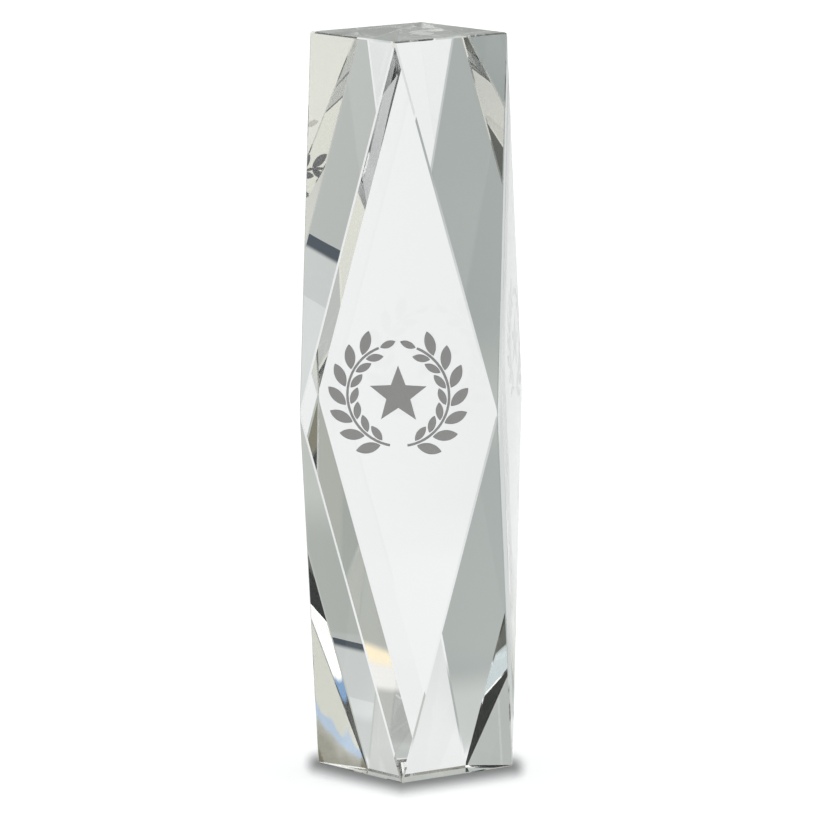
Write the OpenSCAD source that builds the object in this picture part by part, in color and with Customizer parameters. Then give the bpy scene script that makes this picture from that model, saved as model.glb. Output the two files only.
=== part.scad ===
// Crystal award: a tall tower cut from one square block of optical crystal.
// Each side of the block keeps one upright diamond facet, whose four points lie at the middle of
// the block's top, bottom and upright edges. The block's eight corners are cut off by sloping
// triangles, so the foot and the head are squares turned by 45 degrees to the block.
// A laurel wreath round a star is engraved in the front facet and filled with paint.
// +Z is up, the front is towards -Y, and the origin is the middle of the foot. Millimetres.

/* [Crystal] */
// Width and depth of the crystal, across opposite diamond facets
crystal_w = 60; // [55:1:80]
// Height of the crystal
crystal_h = 225; // [200:5:300]
// Width of the polished flat along every edge
arris = 0.7; // [0.3:0.1:0.8]

/* [Engraving] */
// Height of the emblem's middle above the middle of the front facet
emblem_rise = 6; // [0:0.5:8]
// Depth of the engraving
engraved_depth = 0.5; // [0.4:0.1:0.8]
// Depth of the paint's face behind the facet
paint_sunk = 0.1; // [0.05:0.05:0.3]

/* [Laurel wreath] */
// Radius of the circle that each branch's stem follows
branch_r = 15.4; // [15:0.1:16]
// Number of leaf pairs on each branch
leaf_pairs = 7; // [5:1:7]
// Length of a leaf on the outside of the branch
outer_leaf_l = 7.6; // [6.5:0.1:7.8]
// Length of a leaf on the inside of the branch
inner_leaf_l = 5.4; // [4:0.1:5.5]
// Length of the single leaf at the tip of the branch
tip_leaf_l = 5; // [4:0.1:5.2]
// Width of a leaf as a share of its length
leaf_plump = 0.42; // [0.32:0.01:0.42]
// Angle at which a leaf stands off the stem
leaf_splay = 33; // [31:1:36]
// Width of the stem
stem_w = 0.7; // [0.5:0.1:0.9]
// Clear glass between a leaf and the stem
leaf_gap = 0.45; // [0.4:0.05:0.6]

/* [Star] */
// Radius of the star's points
star_r = 9; // [7:0.1:10]
// Radius of the corners between the star's points, as a share of star_r
star_waist = 0.42; // [0.38:0.01:0.5]

/* [Hidden] */
crystal_colour = [0.90, 0.94, 0.94, 0.35];
paint_colour = [0.56, 0.56, 0.56];

// Half-spaces, each [outward unit normal, distance from the middle of the crystal].
cube_side = 4 * crystal_h;
corner_lean = crystal_w / crystal_h;
corner_len = norm([1, 1, corner_lean]);
diamonds = [for (a = [0:90:270]) [[cos(a), sin(a), 0], crystal_w / 2]];
corners = [
    for (x = [-1, 1], y = [-1, 1], z = [-1, 1])
        [[x, y, z * corner_lean] / corner_len, crystal_w / corner_len]
];
ends = [for (z = [-1, 1]) [[0, 0, z], crystal_h / 2]];
facets = concat(diamonds, corners, ends);

// A corner triangle shares an edge with every diamond or end that its normal leans towards.
// The flat on that edge faces midway between the two, and is cut back until it is arris wide.
function edge_flat(p, q) =
    let (
        turn = acos(p[0] * q[0]),
        middle = (p[0] + q[0]) / norm(p[0] + q[0]),
        edge_at = (p[1] + q[1]) / norm(p[0] + q[0]),
        depth = arris / 2 * tan(turn / 2)
    )
    [middle, edge_at - depth];
flats = [for (c = corners, p = concat(diamonds, ends)) if (c[0] * p[0] > 0) edge_flat(c, p)];

// Everything behind the plane that stands at_distance along a unit normal.
module behind(normal, at_distance) {
    rotate([0, acos(normal.z), atan2(normal.y, normal.x)])
        translate([-cube_side / 2, -cube_side / 2, at_distance - cube_side])
            cube(cube_side);
}

module cut_block() {
    translate([0, 0, crystal_h / 2])
        intersection_for (p = concat(facets, flats))
            behind(p[0], p[1]);
}

// Turns a flat drawing into a solid in the front facet, from one depth behind it to another.
module in_front_facet(deep, shallow) {
    translate([0, -crystal_w / 2, crystal_h / 2 + emblem_rise])
        rotate([90, 0, 0])
            translate([0, 0, -deep])
                linear_extrude(height = deep - shallow)
                    children();
}

module paint() {
    color(paint_colour) in_front_facet(engraved_depth, paint_sunk) children();
}

// The right-hand branch climbs anticlockwise from its foot. The left-hand one mirrors it.
foot_angle = -80;
first_leaf_angle = -70;
tip_angle = 68;
leaf_step = (tip_angle - first_leaf_angle) / leaf_pairs;

// A leaf is where two equal circles overlap, with one point at the origin and one along +X.
module leaf(length) {
    width = leaf_plump * length;
    arc_r = (length * length + width * width) / (4 * width);
    translate([length / 2, 0])
        intersection_for (s = [-1, 1])
            translate([0, s * (arc_r - width / 2)])
                circle(r = arc_r, $fn = 180);
}

module leaf_pair(at_angle) {
    stand_off = stem_w / 2 + leaf_gap;
    rotate(at_angle) {
        translate([branch_r + stand_off, 0]) rotate(90 - leaf_splay) leaf(outer_leaf_l);
        translate([branch_r - stand_off, 0]) rotate(90 + leaf_splay) leaf(inner_leaf_l);
    }
}

module stem() {
    reach = 4 * branch_r;
    intersection() {
        difference() {
            circle(r = branch_r + stem_w / 2, $fn = 180);
            circle(r = branch_r - stem_w / 2, $fn = 180);
        }
        polygon([
            [0, 0],
            reach * [cos(foot_angle), sin(foot_angle)],
            [reach, 0],
            reach * [cos(tip_angle), sin(tip_angle)]
        ]);
    }
}

module right_branch() {
    stem();
    for (i = [0:leaf_pairs - 1]) leaf_pair(first_leaf_angle + i * leaf_step);
    rotate(tip_angle) translate([branch_r, leaf_gap]) rotate(90) leaf(tip_leaf_l);
}

module left_branch() {
    mirror([1, 0, 0]) right_branch();
}

module star() {
    points = 5;
    polygon([
        for (i = [0:2 * points - 1])
            let (a = 90 + i * 180 / points, r = star_r * (i % 2 == 0 ? 1 : star_waist))
            [r * cos(a), r * sin(a)]
    ]);
}

module crystal_tower() {
    past_facet = 1;
    color(crystal_colour)
        difference() {
            cut_block();
            in_front_facet(engraved_depth, -past_facet) {
                star();
                left_branch();
                right_branch();
            }
        }
}

module star_fill() {
    paint() star();
}

module left_branch_fill() {
    paint() left_branch();
}

module right_branch_fill() {
    paint() right_branch();
}

crystal_tower();
star_fill();
left_branch_fill();
right_branch_fill();
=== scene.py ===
"""Crystal award: a tower of optical crystal with an engraved, paint-filled emblem, on a pale table."""

import math

import bmesh
import bpy
from mathutils import Matrix, Vector


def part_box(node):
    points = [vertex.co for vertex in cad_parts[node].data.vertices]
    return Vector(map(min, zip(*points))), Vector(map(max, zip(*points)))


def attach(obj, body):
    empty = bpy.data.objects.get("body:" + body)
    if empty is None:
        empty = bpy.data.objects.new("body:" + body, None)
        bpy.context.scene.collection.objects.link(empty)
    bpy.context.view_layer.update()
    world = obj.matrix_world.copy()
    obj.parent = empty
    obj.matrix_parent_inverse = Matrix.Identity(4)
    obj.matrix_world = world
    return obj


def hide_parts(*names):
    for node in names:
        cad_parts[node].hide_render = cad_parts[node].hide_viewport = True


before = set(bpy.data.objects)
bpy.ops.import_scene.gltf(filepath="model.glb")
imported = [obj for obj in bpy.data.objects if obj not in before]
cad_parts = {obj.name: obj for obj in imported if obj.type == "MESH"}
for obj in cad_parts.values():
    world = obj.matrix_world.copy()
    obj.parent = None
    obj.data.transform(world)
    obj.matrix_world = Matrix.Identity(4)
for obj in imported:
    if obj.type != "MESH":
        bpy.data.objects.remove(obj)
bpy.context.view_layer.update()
scene = bpy.context.scene


# ---- Camera -------------------------------------------------------------------------------------
# A long lens, a little to the right of the award and a little above it, so that the head's top
# face shows as a thin sliver. The camera is tipped by half a degree.
VIEW_AZIMUTH = math.radians(7.85)
VIEW_ELEVATION = math.radians(8.47)
VIEW_ROLL = math.radians(-0.53)
VIEW_DISTANCE = 2.51
LENS_MM, SENSOR_MM = 359.2, 36
CLIP_NEAR, CLIP_FAR = 0.05, 50
AIM_RIGHT = 0.0006
AIM_HEIGHT = 0.1084

back = Vector((
    math.sin(VIEW_AZIMUTH) * math.cos(VIEW_ELEVATION),
    -math.cos(VIEW_AZIMUTH) * math.cos(VIEW_ELEVATION),
    math.sin(VIEW_ELEVATION),
))
level_right = Vector((math.cos(VIEW_AZIMUTH), math.sin(VIEW_AZIMUTH), 0))
level_up = back.cross(level_right)
right = math.cos(VIEW_ROLL) * level_right + math.sin(VIEW_ROLL) * level_up
up = math.cos(VIEW_ROLL) * level_up - math.sin(VIEW_ROLL) * level_right
aim = right * AIM_RIGHT + Vector((0, 0, AIM_HEIGHT))

camera = bpy.data.objects.new("camera", bpy.data.cameras.new("camera"))
scene.collection.objects.link(camera)
scene.camera = camera
turn = Matrix((right, up, back)).transposed().to_4x4()
camera.matrix_world = Matrix.Translation(aim + back * VIEW_DISTANCE) @ turn
camera.data.sensor_width = SENSOR_MM
camera.data.lens = LENS_MM
camera.data.clip_start = CLIP_NEAR
camera.data.clip_end = CLIP_FAR


# ---- Crystal tower ------------------------------------------------------------------------------
# One block of lead-free optical crystal, sawn, ground flat on each facet and polished with cerium
# oxide. Every edge has a narrow flat, polished like the facets but not quite as bright. The emblem is
# sand-blasted into the front facet.
MM = 0.001


def linear(hex_colour):
    """An sRGB hex colour as linear red, green, blue and alpha."""
    parts = [int(hex_colour[i:i + 2], 16) / 255 for i in (1, 3, 5)]
    return (*[p / 12.92 if p <= 0.04045 else ((p + 0.055) / 1.055) ** 2.4 for p in parts], 1)


def add(tree, kind, settings=None, **sockets):
    """Adds a node. settings are its properties; sockets are values, or sockets to link from. A socket
    goes by its name, with _ for each space, or by its number, as i0."""
    node = tree.nodes.new(kind)
    for name, value in (settings or {}).items():
        setattr(node, name, value)
    for name, value in sockets.items():
        key = int(name[1:]) if name[0] == "i" and name[1:].isdigit() else name.replace("_", " ")
        if isinstance(value, bpy.types.NodeSocket):
            tree.links.new(value, node.inputs[key])
        else:
            node.inputs[key].default_value = value
    return node


def new_material(name):
    """A material with no nodes yet, and its node tree."""
    material = bpy.data.materials.new(name)
    material.use_nodes = True
    material.node_tree.nodes.clear()
    return material, material.node_tree


# Optical crystal, K9 type, polished: clear and neutral with a very faint cool tint in depth. Hand
# polishing leaves each facet a few wavelengths from flat, which bends reflections slightly. Real
# scuffs are far finer than the ones here, which are broad patches of a slightly duller polish.
CRYSTAL_IOR = 1.517
TINT, TINT_DENSITY = "#3a4a48", 2.1
POLISH_WAVE, WAVE_STRENGTH, WAVE_DEPTH = 22 * MM, 0.04, 0.2 * MM
POLISH_SCUFF, SCUFF_ROUGH = 5 * MM, 0.004
SCUFF_FROM, SCUFF_FULL = 0.5, 0.8
ARRIS_ROUGH = 0.05

# A face that is square to none of the facets' directions is an edge flat or a wall of the engraving.
SQUARE_ON = 0.9998
tower_low, tower_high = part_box("crystal_tower")
corner_facet = Vector((1, 1, tower_high.x * 2 / tower_high.z)).normalized()
crystal, tree = new_material("optical_crystal_polished")
place = add(tree, "ShaderNodeTexCoord").outputs["Object"]
scuffs = add(tree, "ShaderNodeTexNoise", Vector=place, Scale=1 / POLISH_SCUFF, Detail=2.0)
polish = add(tree, "ShaderNodeMapRange", Value=scuffs.outputs["Fac"],
             From_Min=SCUFF_FROM, From_Max=SCUFF_FULL, To_Min=0.0, To_Max=SCUFF_ROUGH)
facing = add(tree, "ShaderNodeVectorMath", {"operation": "ABSOLUTE"},
             i0=add(tree, "ShaderNodeNewGeometry").outputs["True Normal"]).outputs[0]
on_facet = 0.0
for facet in (Vector((1, 0, 0)), Vector((0, 1, 0)), Vector((0, 0, 1)), corner_facet):
    squareness = add(tree, "ShaderNodeVectorMath", {"operation": "DOT_PRODUCT"}, i0=facing, i1=facet)
    on_facet = add(tree, "ShaderNodeMath", {"operation": "MAXIMUM"}, i0=on_facet,
                   i1=squareness.outputs["Value"]).outputs[0]
on_arris = add(tree, "ShaderNodeMath", {"operation": "LESS_THAN"}, i0=on_facet, i1=SQUARE_ON)
finish = add(tree, "ShaderNodeMix", {"data_type": "FLOAT"}, i0=on_arris.outputs[0],
             i2=polish.outputs[0], i3=ARRIS_ROUGH)
waves = add(tree, "ShaderNodeTexNoise", Vector=place, Scale=1 / POLISH_WAVE, Detail=1.0)
ripple = add(tree, "ShaderNodeBump", Height=waves.outputs["Fac"], Strength=WAVE_STRENGTH,
             Distance=WAVE_DEPTH)
glass = add(tree, "ShaderNodeBsdfPrincipled", Base_Color=(1, 1, 1, 1), IOR=CRYSTAL_IOR, Metallic=0.0,
            Roughness=finish.outputs[0], Normal=ripple.outputs[0])
glass.inputs["Transmission Weight"].default_value = 1.0
tint = add(tree, "ShaderNodeVolumeAbsorption", Color=linear(TINT), Density=TINT_DENSITY)
add(tree, "ShaderNodeOutputMaterial", Surface=glass.outputs[0], Volume=tint.outputs[0])
tower_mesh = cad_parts["crystal_tower"].data
tower_mesh.materials.clear()
tower_mesh.materials.append(crystal)


# ---- Emblem paint -------------------------------------------------------------------------------
# Matt grey paint, wiped into the blasted engraving and left a little below the facet. It holds in
# the rough ground, so it is slightly grainy and its face isn't quite flat.
PAINT_DARK, PAINT_PALE = "#aeaeb2", "#c0c0c4"
PAINT_GRAIN, GRAIN_STRENGTH, GRAIN_DEPTH = 0.35 * MM, 0.3, 0.03 * MM
PAINT_IOR, PAINT_SMOOTHEST, PAINT_ROUGHEST = 1.5, 0.55, 0.8
paint, tree = new_material("engraving_paint_matt_grey")
place = add(tree, "ShaderNodeTexCoord").outputs["Object"]
grains = add(tree, "ShaderNodeTexNoise", Vector=place, Scale=1 / PAINT_GRAIN, Detail=3.0)
shade = add(tree, "ShaderNodeMix", {"data_type": "RGBA"}, i0=grains.outputs["Fac"],
            i6=linear(PAINT_DARK), i7=linear(PAINT_PALE))
relief = add(tree, "ShaderNodeBump", Height=grains.outputs["Fac"], Strength=GRAIN_STRENGTH,
             Distance=GRAIN_DEPTH)
dull = add(tree, "ShaderNodeMapRange", Value=grains.outputs["Fac"],
           To_Min=PAINT_SMOOTHEST, To_Max=PAINT_ROUGHEST)
body = add(tree, "ShaderNodeBsdfPrincipled", Base_Color=shade.outputs[2],
           Roughness=dull.outputs[0], IOR=PAINT_IOR, Normal=relief.outputs[0])
add(tree, "ShaderNodeOutputMaterial", Surface=body.outputs[0])

# Wiped paint keys into the blasted ground all round, so each fill reaches a hair into the crystal.
PAINT_BITE = 0.02 * MM
WELD_GAP = 0.001 * MM
for emblem_part in ("star", "left_branch", "right_branch"):
    fill_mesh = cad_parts[emblem_part + "_fill"].data.copy()
    fill_mesh.name = emblem_part + "_paint"
    form = bmesh.new()
    form.from_mesh(fill_mesh)
    bmesh.ops.remove_doubles(form, verts=form.verts, dist=WELD_GAP)
    bmesh.ops.recalc_face_normals(form, faces=form.faces)
    form.normal_update()
    for corner in form.verts:
        corner.co += corner.normal * PAINT_BITE
    form.to_mesh(fill_mesh)
    form.free()
    fill_mesh.materials.clear()
    fill_mesh.materials.append(paint)
    fill = bpy.data.objects.new(emblem_part + "_paint", fill_mesh)
    scene.collection.objects.link(fill)
    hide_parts(emblem_part + "_fill")
    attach(fill, "root")


# ---- Studio tent --------------------------------------------------------------------------------
# A soft pale tent, plain where the camera sees it directly. Every other ray meets a studio set for
# glass: a white card behind, greys beside it, a softbox overhead and a dark side where the camera
# stands. Thin warm and blue edges stand in for the fringes that real crystal splits from light.
TENT_PALE = "#ffffff"
TENT_LEFT, TENT_RIGHT = "#c4c8c4", "#d0d3cd"
ALL_ROUND, ZENITH = 180, 90
SMOOTH = {"interpolation_type": "SMOOTHSTEP"}

world = bpy.data.worlds.new("studio_tent")
scene.world = world
world.use_nodes = True
tree = world.node_tree
tree.nodes.clear()
ray = add(tree, "ShaderNodeTexCoord").outputs["Generated"]
height = add(tree, "ShaderNodeSeparateXYZ", Vector=ray).outputs["Z"]
flat_ray = add(tree, "ShaderNodeVectorMath", {"operation": "MULTIPLY"}, i0=ray, i1=(1, 1, 0)).outputs[0]
compass = add(tree, "ShaderNodeVectorMath", {"operation": "NORMALIZE"}, i0=flat_ray).outputs[0]


def bright(hex_colour, times):
    """A linear colour made brighter, for a light that is whiter than white paper."""
    return tuple(c * times for c in linear(hex_colour)[:3]) + (1,)


def sector(tree, compass, azimuth, half_width, soft):
    """How far the compass direction lies within half_width degrees of azimuth, from 0 to 1. Azimuth
    0 is straight behind the award and 90 is to its right."""
    angle = math.radians(azimuth)
    towards = add(tree, "ShaderNodeVectorMath", {"operation": "DOT_PRODUCT"},
                  i0=compass, i1=(math.sin(angle), math.cos(angle), 0))
    inside = add(tree, "ShaderNodeMapRange", SMOOTH, Value=towards.outputs["Value"],
                 From_Min=math.cos(math.radians(half_width + soft)),
                 From_Max=math.cos(math.radians(max(0, half_width - soft))))
    return inside.outputs[0]


def lay(tree, under, colour, *shares):
    """Lays a colour over what is under it, as far as all the shares allow."""
    share = shares[0]
    for other in shares[1:]:
        share = add(tree, "ShaderNodeMath", {"operation": "MULTIPLY"}, i0=share, i1=other).outputs[0]
    return add(tree, "ShaderNodeMix", {"data_type": "RGBA"}, i0=share, i6=under, i7=colour).outputs[2]


# Panels in the tent: azimuth, half width, lowest and highest elevation and softness, in degrees, then
# the lean of the upper and lower edges, which is their rise for each degree of azimuth.
PANELS = {
    "card_behind": (bright("#fdffff", 1.04), -14, 11, -60, 3.5, 3, 0),
    "grey_behind": (linear("#bcc1ba"), 29, 4, -2, 20, 1.5, 0),
    "far_strip": (bright("#fffefb", 1.15), 29, 2.5, -3, -0.5, 0.1, 0),
    "far_strip_edge": (bright("#fff0cc", 1.35), 29, 2.5, -0.56, -0.44, 0.03, 0),
    "pale_behind": (bright("#f0fcff", 1.05), 28, 5, 27, 36, 1.5, 0),
    "dark_camera_side": (linear("#202423"), 172, 63, 8, 43, 1, 0),
    "dark_right": (linear("#85826f"), 100, 16, 11, 22.8, 0.1, 1),
    "dark_far_right": (linear("#6a6c66"), 136, 26, 4, 22, 1.5, 0),
    "right_edge": (linear("#a9c2dc"), 100, 16, 22.8, 22.88, 0.02, 1),
    "light_right": (linear("#d3d5c8"), 100, 16, 22.88, 38, 0.02, 1),
    "softbox_edge": (linear("#86b8ec"), -170, 10, 41.6, 41.8, 0.03, 0),
    "softbox": (bright("#fffffb", 1.9), 0, ALL_ROUND, 41.78, ZENITH, 0.06, 0),
    "tent_top": (linear("#c8c6bd"), 0, ALL_ROUND, 52, ZENITH, 4, 0),
}
eastward = add(tree, "ShaderNodeSeparateXYZ", Vector=compass).outputs["X"]
to_right = add(tree, "ShaderNodeMapRange", Value=eastward, From_Min=-1.0)
light = lay(tree, linear(TENT_LEFT), linear(TENT_RIGHT), to_right.outputs[0])
for colour, azimuth, half_width, low, high, soft, lean in PANELS.values():
    shares = [sector(tree, compass, azimuth, half_width, soft)] if half_width < ALL_ROUND else []
    angle = math.radians(azimuth)
    along = add(tree, "ShaderNodeVectorMath", {"operation": "DOT_PRODUCT"},
                i0=ray, i1=(math.cos(angle), -math.sin(angle), 0))
    leaning = add(tree, "ShaderNodeMath", {"operation": "MULTIPLY_ADD"}, i0=along.outputs["Value"],
                  i1=-lean, i2=height)
    for sign, edge in ((1, low), (-1, high)):
        if edge < ZENITH:
            step = add(tree, "ShaderNodeMapRange", SMOOTH, Value=leaning.outputs[0],
                       From_Min=math.sin(math.radians(edge - sign * soft)),
                       From_Max=math.sin(math.radians(edge + sign * soft)))
            shares.append(step.outputs[0])
    light = lay(tree, light, colour, *shares)
seen = add(tree, "ShaderNodeLightPath").outputs["Is Camera Ray"]
background = add(tree, "ShaderNodeBackground", Color=lay(tree, light, linear(TENT_PALE), seen))
add(tree, "ShaderNodeOutputWorld", Surface=background.outputs[0])


# ---- Table --------------------------------------------------------------------------------------
# A round table of uncoated pale paper: matt, with a fine tooth, and painted darker where the foot stands
# close over it, as painted shade. Its rim fades into the tent. Seen directly it is plain. Every other
# ray meets paper that glows with painted light and shade: a white card behind the award, a painted pool
# of light round the foot and painted shade where the camera stands.
TABLE_R, TABLE_SIDES, TABLE_DROP = 4.0, 96, 0.05 * MM
FADE_FROM, FADE_TO = 2.4, 3.8
PAPER_PALE, PAPER_GLOW = "#f7f8fc", 0.45
PAPER_SHADE_LEFT, PAPER_SHADE_RIGHT = "#a8b0ae", "#cfd1cd"
PAPER_TOOTH, TOOTH_STRENGTH, TOOTH_DEPTH = 2 * MM, 0.05, 0.05 * MM

table_mesh = bpy.data.meshes.new("table")
rim_angles = [2 * math.pi * i / TABLE_SIDES for i in range(TABLE_SIDES)]
rim = [(TABLE_R * math.cos(angle), TABLE_R * math.sin(angle), 0) for angle in rim_angles]
table_mesh.from_pydata(rim, [], [tuple(range(TABLE_SIDES))])
table = bpy.data.objects.new("table", table_mesh)
table.location.z = -TABLE_DROP
scene.collection.objects.link(table)

paper_look, tree = new_material("table_paper_pale")
place = add(tree, "ShaderNodeTexCoord").outputs["Object"]
flat_place = add(tree, "ShaderNodeVectorMath", {"operation": "MULTIPLY"}, i0=place,
                 i1=(1, 1, 0)).outputs[0]
compass = add(tree, "ShaderNodeVectorMath", {"operation": "NORMALIZE"}, i0=flat_place).outputs[0]
distance = add(tree, "ShaderNodeVectorMath", {"operation": "LENGTH"}, i0=flat_place).outputs["Value"]
around = add(tree, "ShaderNodeSeparateXYZ", Vector=compass)
# Painted shade: the paper that other rays see is greyer to the left and paler to the right.
to_right = add(tree, "ShaderNodeMapRange", Value=around.outputs["X"], From_Min=-1.0)
tone = lay(tree, linear(PAPER_SHADE_LEFT), linear(PAPER_SHADE_RIGHT), to_right.outputs[0])

# Painted light, as from a board in front and to the left, makes the paper glow brighter there: azimuth,
# half width and softness in degrees. A painted pool of light is warm in front of the foot, and smaller
# and whiter behind it. FRONT and BACK say where each half fades in, on a scale from -1, straight in
# front, to 1, straight behind.
PAINTED_BOARD_SECTOR, PAINTED_BOARD_LIGHT = (-142, 50, 8), bright("#fffffd", 1.15)
POOL_R, POOL_SOFT, PAINTED_POOL_LIGHT = 0.24, 0.11, bright("#fffef1", 1.02)
POOL_BEHIND_R, POOL_BEHIND_SOFT, PAINTED_POOL_BEHIND_LIGHT = 0.13, 0.03, bright("#ffffff", 1.05)
FRONT_FROM, FRONT_FULL = 0.05, -0.25
BACK_FROM, BACK_FULL = -0.2, 0.2
tone = lay(tree, tone, PAINTED_BOARD_LIGHT, sector(tree, compass, *PAINTED_BOARD_SECTOR))
near = add(tree, "ShaderNodeMapRange", SMOOTH, Value=distance,
           From_Min=POOL_R + POOL_SOFT, From_Max=POOL_R - POOL_SOFT)
in_front = add(tree, "ShaderNodeMapRange", SMOOTH, Value=around.outputs["Y"],
               From_Min=FRONT_FROM, From_Max=FRONT_FULL)
tone = lay(tree, tone, PAINTED_POOL_LIGHT, near.outputs[0], in_front.outputs[0])
near_behind = add(tree, "ShaderNodeMapRange", SMOOTH, Value=distance,
                  From_Min=POOL_BEHIND_R + POOL_BEHIND_SOFT,
                  From_Max=POOL_BEHIND_R - POOL_BEHIND_SOFT)
at_back = add(tree, "ShaderNodeMapRange", SMOOTH, Value=around.outputs["Y"],
              From_Min=BACK_FROM, From_Max=BACK_FULL)
tone = lay(tree, tone, PAINTED_POOL_BEHIND_LIGHT, near_behind.outputs[0], at_back.outputs[0])

# A white card is painted on the paper, glowing as painted light. It starts narrow at the foot and
# widens as it goes back, leaning a little to the right.
CARD_WHITE = "#fdffff"
CARD_HALF, CARD_SPREAD, CARD_LEAN, CARD_SOFT = 0.02, 0.185, 0.08, 0.1
CARD_START = -0.1
turned = add(tree, "ShaderNodeVectorRotate", {"rotation_type": "Z_AXIS"}, Vector=flat_place,
             Angle=-VIEW_AZIMUTH)
spot = add(tree, "ShaderNodeSeparateXYZ", Vector=turned.outputs[0])
away = add(tree, "ShaderNodeMath", {"operation": "MAXIMUM"}, i0=spot.outputs["Y"], i1=0.0)
off_centre = add(tree, "ShaderNodeMath", {"operation": "MULTIPLY_ADD"}, i0=away.outputs[0],
                 i1=-CARD_LEAN, i2=spot.outputs["X"])
across = add(tree, "ShaderNodeMath", {"operation": "ABSOLUTE"}, i0=off_centre.outputs[0])
card_edge = add(tree, "ShaderNodeMath", {"operation": "MULTIPLY_ADD"}, i0=away.outputs[0],
                i1=CARD_SPREAD, i2=CARD_HALF)
past_edge = add(tree, "ShaderNodeMath", {"operation": "SUBTRACT"}, i0=across.outputs[0],
                i1=card_edge.outputs[0])
on_card = add(tree, "ShaderNodeMapRange", SMOOTH, Value=past_edge.outputs[0],
              From_Min=CARD_SOFT, From_Max=0.0)
behind = add(tree, "ShaderNodeMapRange", SMOOTH, Value=spot.outputs["Y"],
             From_Min=CARD_START, From_Max=0.0)
tone = lay(tree, tone, linear(CARD_WHITE), on_card.outputs[0], behind.outputs[0])

# Zones of painted light and shade on the paper: azimuth, half width and softness in degrees, then
# nearest and furthest distance from the foot's middle and the softness of those edges, in metres.
FROM_MIDDLE = -1
ZONES = {
    "dark_camera_side": (linear("#101010"), 147, 38, 8, 0.455, TABLE_R, 0.04),
    "shade_left": (linear("#626561"), -140, 18, 4, 0.2, TABLE_R, 0.02),
    "far_strip": (bright("#fffefb", 1.15), 29, 2.5, 1, 1.8, TABLE_R, 0.2),
    "near_left_side": (linear("#8c8f8c"), -78, 20, 6, FROM_MIDDLE, 0.22, 0.04),
    "near_right_side": (linear("#8c8f8c"), 92, 20, 6, FROM_MIDDLE, 0.09, 0.02),
    "near_left_behind": (linear("#d3d7d4"), -38, 13, 4, FROM_MIDDLE, 0.45, 0.1),
    "near_right": (linear("#e6eae9"), 20.5, 5, 2, FROM_MIDDLE, 0.55, 0.01),
    "foot_right": (linear("#d2d6d4"), 20.5, 5, 2, FROM_MIDDLE, 0.36, 0.05),
    "far_right": (linear("#babfba"), 20.5, 5, 2, 1.1, TABLE_R, 0.02),
}
for colour, azimuth, half_width, soft, closest, furthest, edge_soft in ZONES.values():
    shares = [sector(tree, compass, azimuth, half_width, soft)]
    for sign, edge in ((1, closest), (-1, furthest)):
        step = add(tree, "ShaderNodeMapRange", SMOOTH, Value=distance,
                   From_Min=edge - sign * edge_soft, From_Max=edge + sign * edge_soft)
        shares.append(step.outputs[0])
    tone = lay(tree, tone, colour, *shares)

# Painted shade round the foot darkens the paper close to its edges, and reaches further out to the front
# and back than to the sides, so its square outline is flattened along the view before the distance to it
# is measured.
CONTACT_REACH, CONTACT_DARK = 5.6 * MM, 0.28
FLATTEN = 0.2
across_view = Vector((math.cos(VIEW_AZIMUTH), math.sin(VIEW_AZIMUTH), 0))
along_view = Vector((-math.sin(VIEW_AZIMUTH), math.cos(VIEW_AZIMUTH), 0))
foot = tower_high.x
corners = []
for corner in (Vector((foot, 0, 0)), Vector((0, foot, 0)), Vector((-foot, 0, 0)), Vector((0, -foot, 0))):
    corners.append(Vector((corner.dot(across_view), corner.dot(along_view) * FLATTEN, 0)))
flat_spot = add(tree, "ShaderNodeVectorMath", {"operation": "MULTIPLY"}, i0=turned.outputs[0],
                i1=(1, FLATTEN, 1)).outputs[0]
to_foot = 1.0
for start, end in zip(corners, corners[1:] + corners[:1]):
    side = end - start
    from_start = add(tree, "ShaderNodeVectorMath", {"operation": "SUBTRACT"}, i0=flat_spot, i1=start)
    part = add(tree, "ShaderNodeVectorMath", {"operation": "DOT_PRODUCT"}, i0=from_start.outputs[0],
               i1=side / side.length_squared).outputs["Value"]
    part = add(tree, "ShaderNodeClamp", Value=part).outputs[0]
    nearest = add(tree, "ShaderNodeVectorMath", {"operation": "MULTIPLY_ADD"}, i0=side, i1=part,
                  i2=start).outputs[0]
    gap = add(tree, "ShaderNodeVectorMath", {"operation": "DISTANCE"}, i0=flat_spot, i1=nearest)
    to_foot = add(tree, "ShaderNodeMath", {"operation": "MINIMUM"}, i0=to_foot,
                  i1=gap.outputs["Value"]).outputs[0]
painted_contact_shade = add(tree, "ShaderNodeMapRange", SMOOTH, Value=to_foot, From_Max=CONTACT_REACH,
              To_Min=CONTACT_DARK)

# Seen directly, the paper glows as well as reflecting, which lifts it to about the tent's white, and the
# painted shade round the foot darkens its colour. Every other ray sees the paper glow with its painted
# light and shade, dimmed by the same painted shade.
seen = add(tree, "ShaderNodeLightPath").outputs["Is Camera Ray"]
fibres = add(tree, "ShaderNodeTexNoise", Vector=place, Scale=1 / PAPER_TOOTH, Detail=2.0)
tooth = add(tree, "ShaderNodeBump", Height=fibres.outputs["Fac"], Strength=TOOTH_STRENGTH,
            Distance=TOOTH_DEPTH)
plain = add(tree, "ShaderNodeMix", {"data_type": "RGBA", "blend_type": "MULTIPLY"}, i0=1.0,
            i6=linear(PAPER_PALE), i7=painted_contact_shade.outputs[0])
paper = add(tree, "ShaderNodeBsdfDiffuse", Color=plain.outputs[2], Normal=tooth.outputs[0])
paper_glow = add(tree, "ShaderNodeEmission", Color=plain.outputs[2], Strength=PAPER_GLOW)
direct = add(tree, "ShaderNodeAddShader", i0=paper.outputs[0], i1=paper_glow.outputs[0])
bent = add(tree, "ShaderNodeEmission", Color=tone, Strength=painted_contact_shade.outputs[0])
paper_seen = add(tree, "ShaderNodeMixShader", i0=seen, i1=bent.outputs[0], i2=direct.outputs[0])
clear = add(tree, "ShaderNodeBsdfTransparent")
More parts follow.
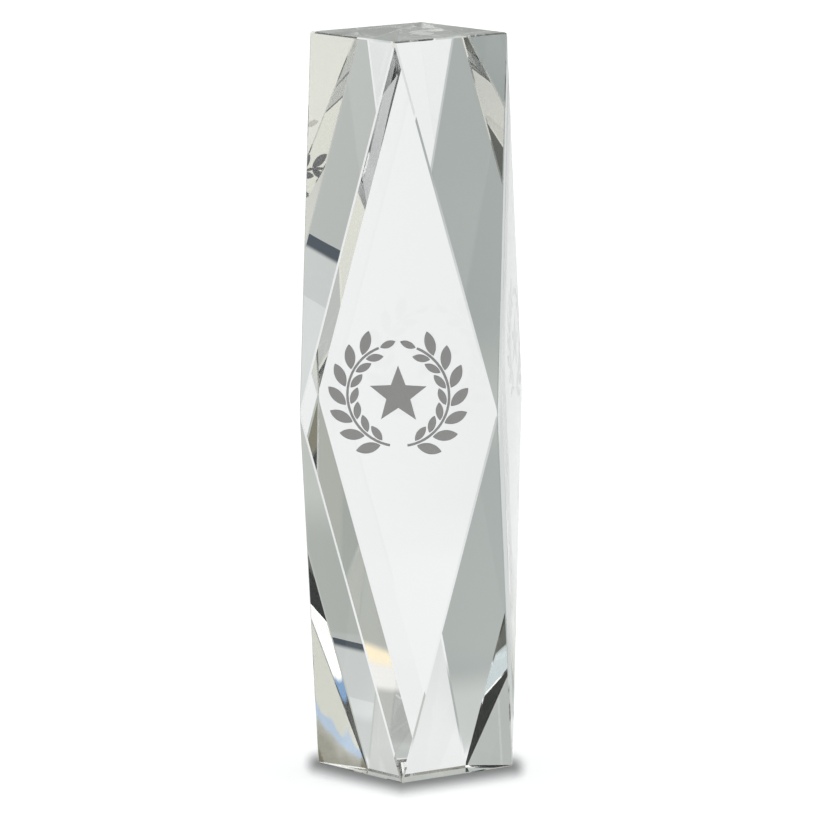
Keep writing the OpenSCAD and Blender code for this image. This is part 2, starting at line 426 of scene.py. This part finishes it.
rim_fade = add(tree, "ShaderNodeMapRange", SMOOTH, Value=distance, From_Min=FADE_FROM,
               From_Max=FADE_TO)
faded = add(tree, "ShaderNodeMixShader", i0=rim_fade.outputs[0], i1=paper_seen.outputs[0],
            i2=clear.outputs[0])
add(tree, "ShaderNodeOutputMaterial", Surface=faded.outputs[0])
paper_look.cycles.emission_sampling = "NONE"
table_mesh.materials.append(paper_look)


# ---- Kerb ---------------------------------------------------------------------------------------
# A low strip of card that glows, standing on edge behind to the right; the camera never sees it
# directly.
# The left-hand facets bend it into view, and its upper edge is painted dark, as painted shade, which
# shows in them as a thin line.
KERB_AWAY, KERB_AZIMUTH, KERB_YAW = 0.493, math.radians(20.5), math.radians(55)
KERB_W, KERB_D, KERB_H = 0.12, 0.006, 0.021
KERB_PALE, KERB_DARK = "#d6dad8", "#4a535d"

# Heights on the strip run from -0.5 at its foot to 0.5 at its top.
KERB_DARK_FROM, KERB_DARK_FULL = 0.34, 0.44
kerb_look, tree = new_material("kerb_card_pale_dark_edge")
up_kerb = add(tree, "ShaderNodeSeparateXYZ", Vector=add(tree, "ShaderNodeTexCoord").outputs["Object"])
kerb_top = add(tree, "ShaderNodeMapRange", SMOOTH, Value=up_kerb.outputs["Z"],
               From_Min=KERB_DARK_FROM, From_Max=KERB_DARK_FULL)
kerb_tone = lay(tree, linear(KERB_PALE), linear(KERB_DARK), kerb_top.outputs[0])
kerb_glow = add(tree, "ShaderNodeEmission", Color=kerb_tone, Strength=1.0)
add(tree, "ShaderNodeOutputMaterial", Surface=kerb_glow.outputs[0])
kerb_look.cycles.emission_sampling = "NONE"
kerb_mesh = bpy.data.meshes.new("kerb")
form = bmesh.new()
bmesh.ops.create_cube(form, size=1.0)
form.to_mesh(kerb_mesh)
form.free()
kerb_mesh.materials.append(kerb_look)
kerb = bpy.data.objects.new("kerb", kerb_mesh)
kerb.location = (KERB_AWAY * math.sin(KERB_AZIMUTH), KERB_AWAY * math.cos(KERB_AZIMUTH), KERB_H / 2)
kerb.rotation_euler.z = -KERB_AZIMUTH - KERB_YAW
kerb.scale = (KERB_W, KERB_D, KERB_H)
kerb.visible_camera = False
kerb.visible_diffuse = False
kerb.visible_shadow = False
scene.collection.objects.link(kerb)


# ---- Light paths --------------------------------------------------------------------------------
# Light crosses many facets before it leaves the crystal, and each mirror inside counts as a bounce.
# The Standard view leaves the hex colours as they are given.
BOUNCES = 32
scene.cycles.max_bounces = BOUNCES
scene.cycles.transmission_bounces = BOUNCES
scene.cycles.glossy_bounces = BOUNCES
scene.view_settings.view_transform = "Standard"
